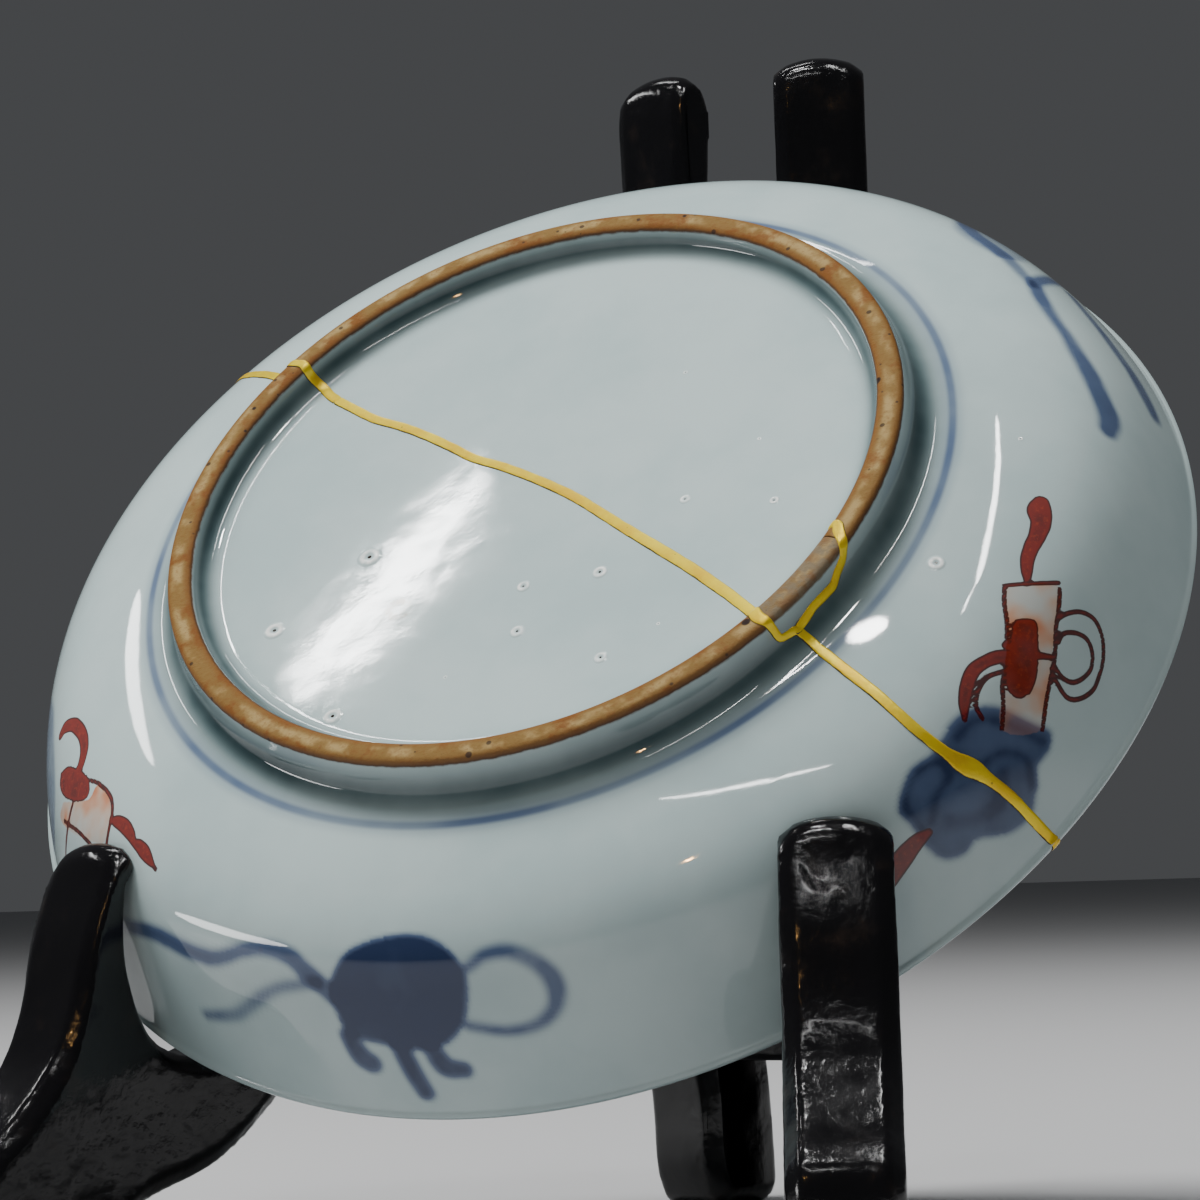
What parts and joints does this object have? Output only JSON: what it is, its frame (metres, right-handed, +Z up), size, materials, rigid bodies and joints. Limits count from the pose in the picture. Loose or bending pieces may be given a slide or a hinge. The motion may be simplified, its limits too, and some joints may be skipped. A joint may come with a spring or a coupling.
{
  "type": "mended porcelain dish on a plate stand",
  "caption": "Shallow footed porcelain dish, mended along its breaks with gold, leaning face-back on a black lacquered plate stand with S-shaped arms.",
  "frame": {"origin": "on the surface the stand rests on, under the middle of the whole", "axes": "+Z up; the dish's underside and the stand's hooks face -Y; +X to the right seen from there"},
  "size_m": [0.15, 0.1332, 0.1576],
  "materials": {
    "dish_upper_sherd": "glossy pale grey-blue glaze over porcelain",
    "dish_lower_sherd": "glossy pale grey-blue glaze over porcelain",
    "foot_ring_sherd": "unglazed crest, toasted buff",
    "gold_seam": "burnished gold powder on lacquer",
    "stand_left_arm": "thick glossy black lacquer, slightly bumpy",
    "stand_right_arm": "thick glossy black lacquer, slightly bumpy",
    "stand_rear_link": "glossy black lacquer"
  },
  "bodies": {
    "root": {"dish_upper_sherd": "dish_upper_sherd", "dish_lower_sherd": "dish_lower_sherd", "foot_ring_sherd": "foot_ring_sherd", "gold_seam": "gold_seam", "stand_left_arm": "stand_left_arm", "stand_right_arm": "stand_right_arm", "stand_rear_link": "stand_rear_link"}
  },
  "joints": []
}
